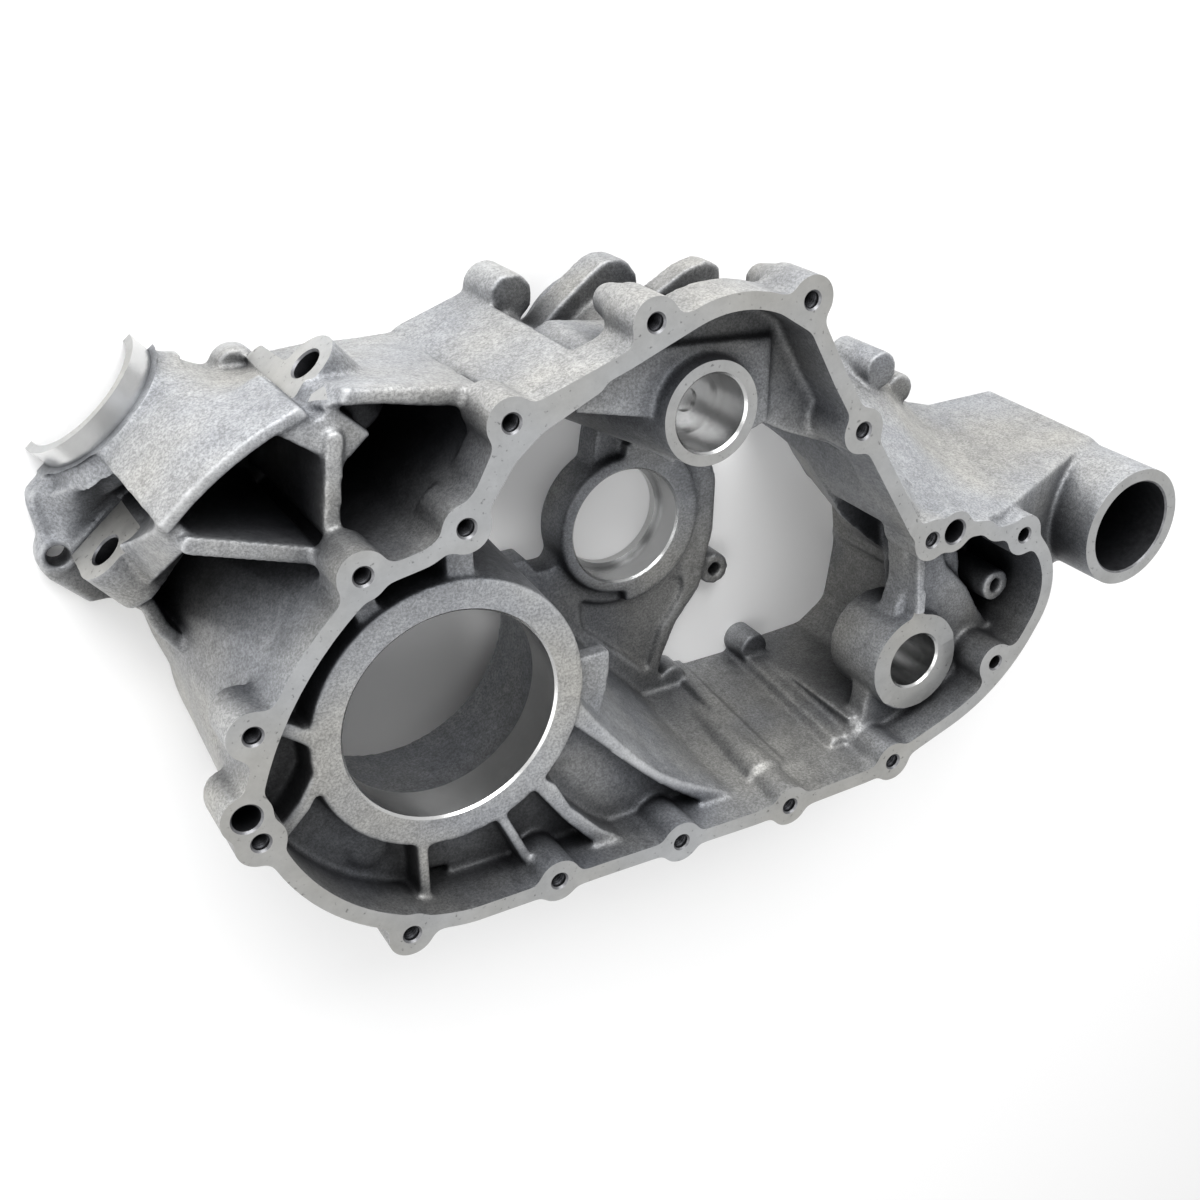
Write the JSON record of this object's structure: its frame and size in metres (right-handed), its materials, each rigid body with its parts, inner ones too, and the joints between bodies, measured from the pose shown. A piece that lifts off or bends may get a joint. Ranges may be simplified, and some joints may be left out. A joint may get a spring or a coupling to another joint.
{
  "type": "gearbox housing half",
  "caption": "Half of a split cast gearbox housing with bearing seats, a joint flange, a pinion nose and a side tube.",
  "frame": {"origin": "middle of the footprint, on the rear joint face", "axes": "+X from the pinion side to the side tube, +Z along the bearing axes towards the front flange"},
  "size_m": [0.5146, 0.259, 0.112],
  "materials": {
    "cast_aluminium": "as cast, blasted, with milled joint faces and turned seats"
  },
  "bodies": {
    "root": {"housing": "cast_aluminium"}
  },
  "joints": []
}
